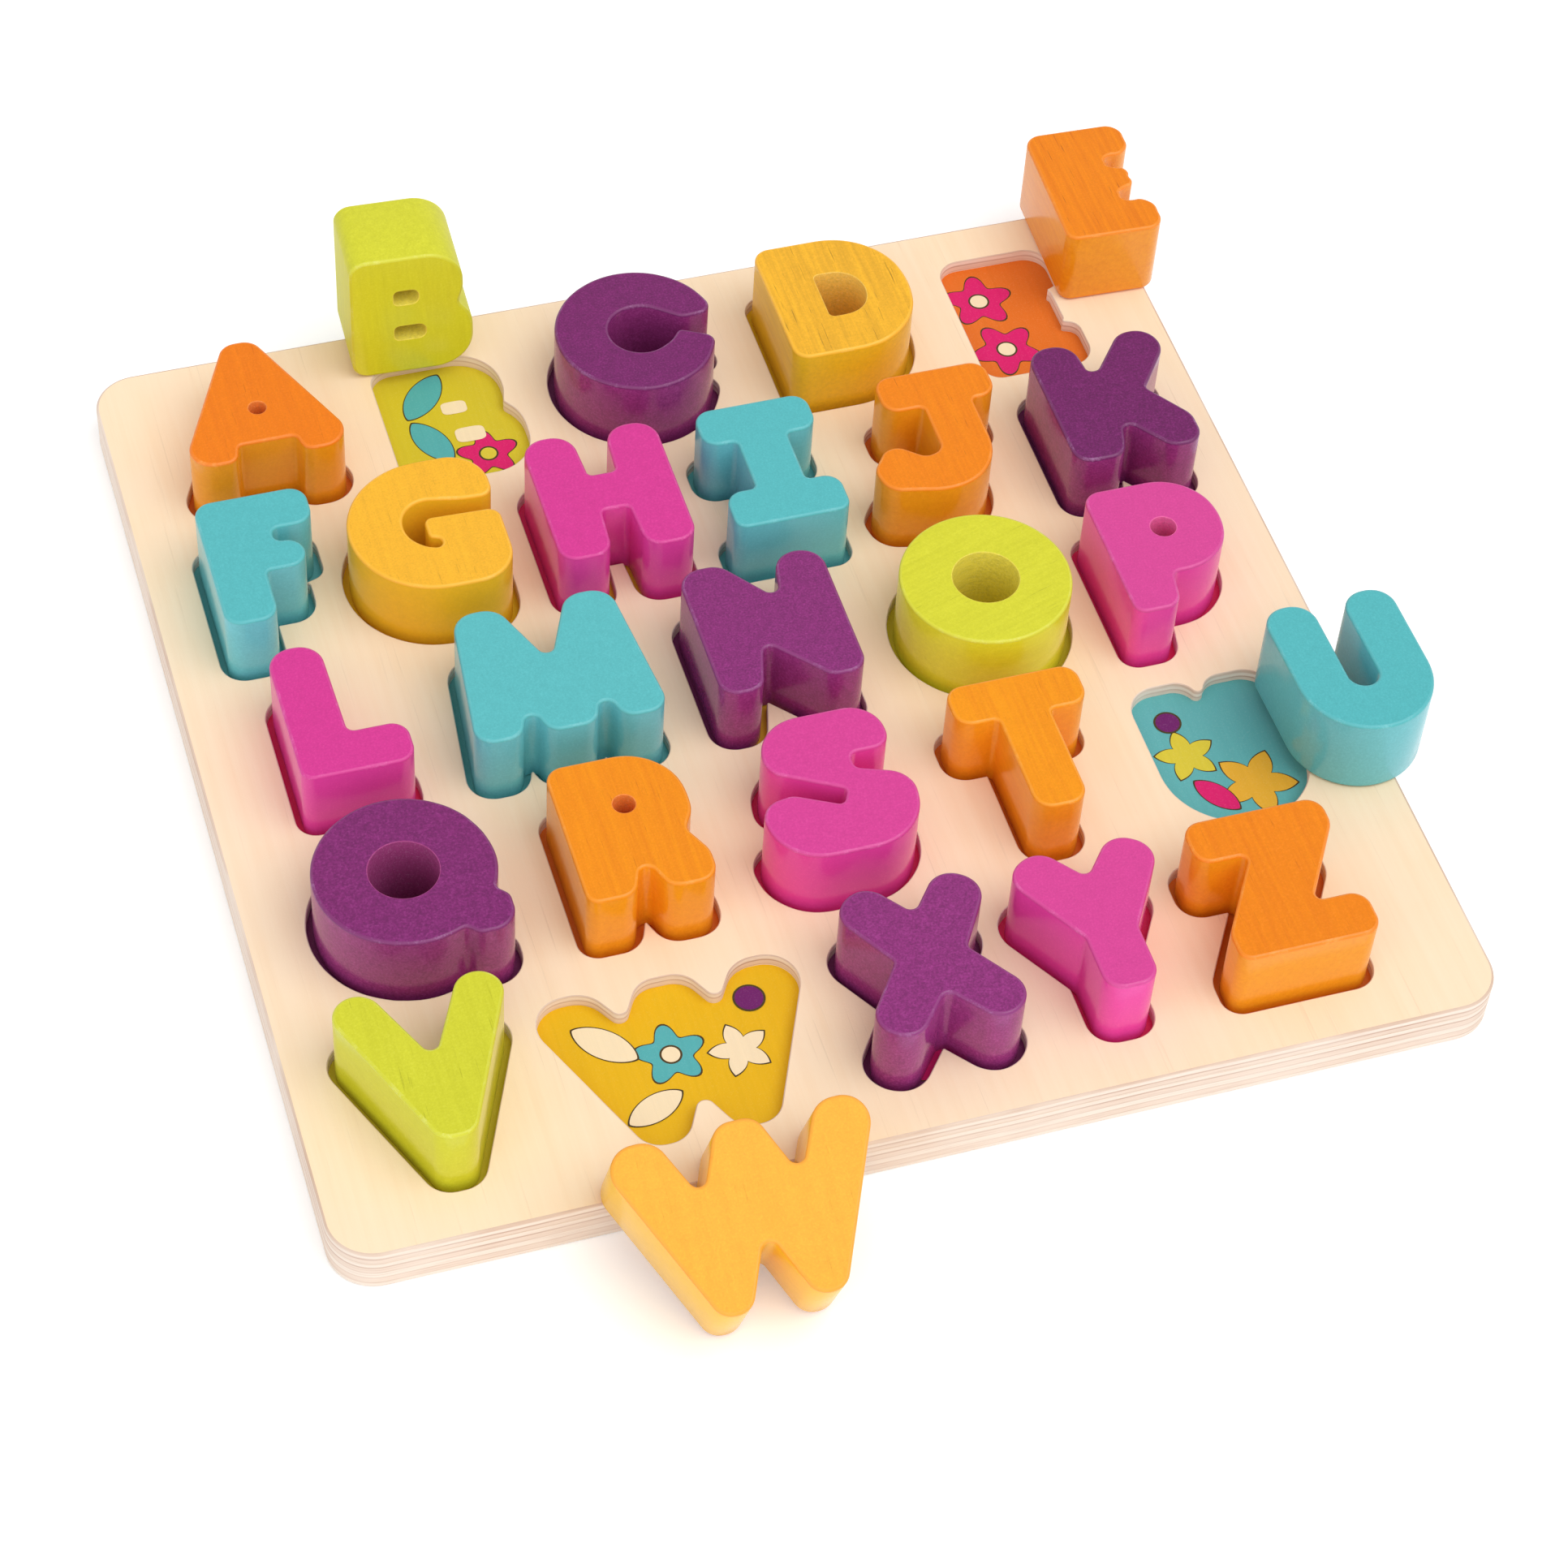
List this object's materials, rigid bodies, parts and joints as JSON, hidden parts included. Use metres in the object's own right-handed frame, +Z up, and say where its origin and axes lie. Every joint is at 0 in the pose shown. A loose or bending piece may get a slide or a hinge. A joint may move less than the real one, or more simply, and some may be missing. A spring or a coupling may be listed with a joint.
{
  "type": "alphabet puzzle",
  "caption": "Wooden alphabet puzzle: a square plywood board with a recess for each capital letter, and thick painted letters that lift out.",
  "frame": {"origin": "middle of the board's underside", "axes": "+Z up out of the recesses, +X to the right along a row of letters, +Y towards the first row"},
  "size_m": [0.3119, 0.351, 0.0567],
  "materials": {
    "paint_orange": "satin paint",
    "paint_lime": "satin paint",
    "paint_purple": "satin paint",
    "paint_yellow": "satin paint",
    "paint_teal": "satin paint",
    "paint_magenta": "satin paint",
    "birch": "clear matt lacquer"
  },
  "bodies": {
    "board": {"base_sheet": "birch", "recess_sheet": "birch"},
    "letter_a": {"letter_a": "paint_orange"},
    "letter_b": {"letter_b": "paint_lime"},
    "letter_c": {"letter_c": "paint_purple"},
    "letter_d": {"letter_d": "paint_yellow"},
    "letter_e": {"letter_e": "paint_orange"},
    "letter_f": {"letter_f": "paint_teal"},
    "letter_g": {"letter_g": "paint_yellow"},
    "letter_h": {"letter_h": "paint_magenta"},
    "letter_i": {"letter_i": "paint_teal"},
    "letter_j": {"letter_j": "paint_orange"},
    "letter_k": {"letter_k": "paint_purple"},
    "letter_l": {"letter_l": "paint_magenta"},
    "letter_m": {"letter_m": "paint_teal"},
    "letter_n": {"letter_n": "paint_purple"},
    "letter_o": {"letter_o": "paint_lime"},
    "letter_p": {"letter_p": "paint_magenta"},
    "letter_q": {"letter_q": "paint_purple"},
    "letter_r": {"letter_r": "paint_orange"},
    "letter_s": {"letter_s": "paint_magenta"},
    "letter_t": {"letter_t": "paint_orange"},
    "letter_u": {"letter_u": "paint_teal"},
    "letter_v": {"letter_v": "paint_lime"},
    "letter_w": {"letter_w": "paint_yellow"},
    "letter_x": {"letter_x": "paint_purple"},
    "letter_y": {"letter_y": "paint_magenta"},
    "letter_z": {"letter_z": "paint_orange"}
  },
  "joints": [
    {"name": "lift_a", "type": "slide", "parent": "board", "child": "letter_a", "axis": [0, 0, 1], "range_m": [0, 0.04]},
    {"name": "lift_b", "type": "slide", "parent": "board", "child": "letter_b", "axis": [0, 0, 1], "range_m": [0, 0.04]},
    {"name": "lift_c", "type": "slide", "parent": "board", "child": "letter_c", "axis": [0, 0, 1], "range_m": [0, 0.04]},
    {"name": "lift_d", "type": "slide", "parent": "board", "child": "letter_d", "axis": [0, 0, 1], "range_m": [0, 0.04]},
    {"name": "lift_e", "type": "slide", "parent": "board", "child": "letter_e", "axis": [0, 0, 1], "range_m": [0, 0.04]},
    {"name": "lift_f", "type": "slide", "parent": "board", "child": "letter_f", "axis": [0, 0, 1], "range_m": [0, 0.04]},
    {"name": "lift_g", "type": "slide", "parent": "board", "child": "letter_g", "axis": [0, 0, 1], "range_m": [0, 0.04]},
    {"name": "lift_h", "type": "slide", "parent": "board", "child": "letter_h", "axis": [0, 0, 1], "range_m": [0, 0.04]},
    {"name": "lift_i", "type": "slide", "parent": "board", "child": "letter_i", "axis": [0, 0, 1], "range_m": [0, 0.04]},
    {"name": "lift_j", "type": "slide", "parent": "board", "child": "letter_j", "axis": [0, 0, 1], "range_m": [0, 0.04]},
    {"name": "lift_k", "type": "slide", "parent": "board", "child": "letter_k", "axis": [0, 0, 1], "range_m": [0, 0.04]},
    {"name": "lift_l", "type": "slide", "parent": "board", "child": "letter_l", "axis": [0, 0, 1], "range_m": [0, 0.04]},
    {"name": "lift_m", "type": "slide", "parent": "board", "child": "letter_m", "axis": [0, 0, 1], "range_m": [0, 0.04]},
    {"name": "lift_n", "type": "slide", "parent": "board", "child": "letter_n", "axis": [0, 0, 1], "range_m": [0, 0.04]},
    {"name": "lift_o", "type": "slide", "parent": "board", "child": "letter_o", "axis": [0, 0, 1], "range_m": [0, 0.04]},
    {"name": "lift_p", "type": "slide", "parent": "board", "child": "letter_p", "axis": [0, 0, 1], "range_m": [0, 0.04]},
    {"name": "lift_q", "type": "slide", "parent": "board", "child": "letter_q", "axis": [0, 0, 1], "range_m": [0, 0.04]},
    {"name": "lift_r", "type": "slide", "parent": "board", "child": "letter_r", "axis": [0, 0, 1], "range_m": [0, 0.04]},
    {"name": "lift_s", "type": "slide", "parent": "board", "child": "letter_s", "axis": [0, 0, 1], "range_m": [0, 0.04]},
    {"name": "lift_t", "type": "slide", "parent": "board", "child": "letter_t", "axis": [0, 0, 1], "range_m": [0, 0.04]},
    {"name": "lift_u", "type": "slide", "parent": "board", "child": "letter_u", "axis": [0, 0, 1], "range_m": [0, 0.04]},
    {"name": "lift_v", "type": "slide", "parent": "board", "child": "letter_v", "axis": [0, 0, 1], "range_m": [0, 0.04]},
    {"name": "lift_w", "type": "slide", "parent": "board", "child": "letter_w", "axis": [0, 0, 1], "range_m": [0, 0.04]},
    {"name": "lift_x", "type": "slide", "parent": "board", "child": "letter_x", "axis": [0, 0, 1], "range_m": [0, 0.04]},
    {"name": "lift_y", "type": "slide", "parent": "board", "child": "letter_y", "axis": [0, 0, 1], "range_m": [0, 0.04]},
    {"name": "lift_z", "type": "slide", "parent": "board", "child": "letter_z", "axis": [0, 0, 1], "range_m": [0, 0.04]}
  ]
}
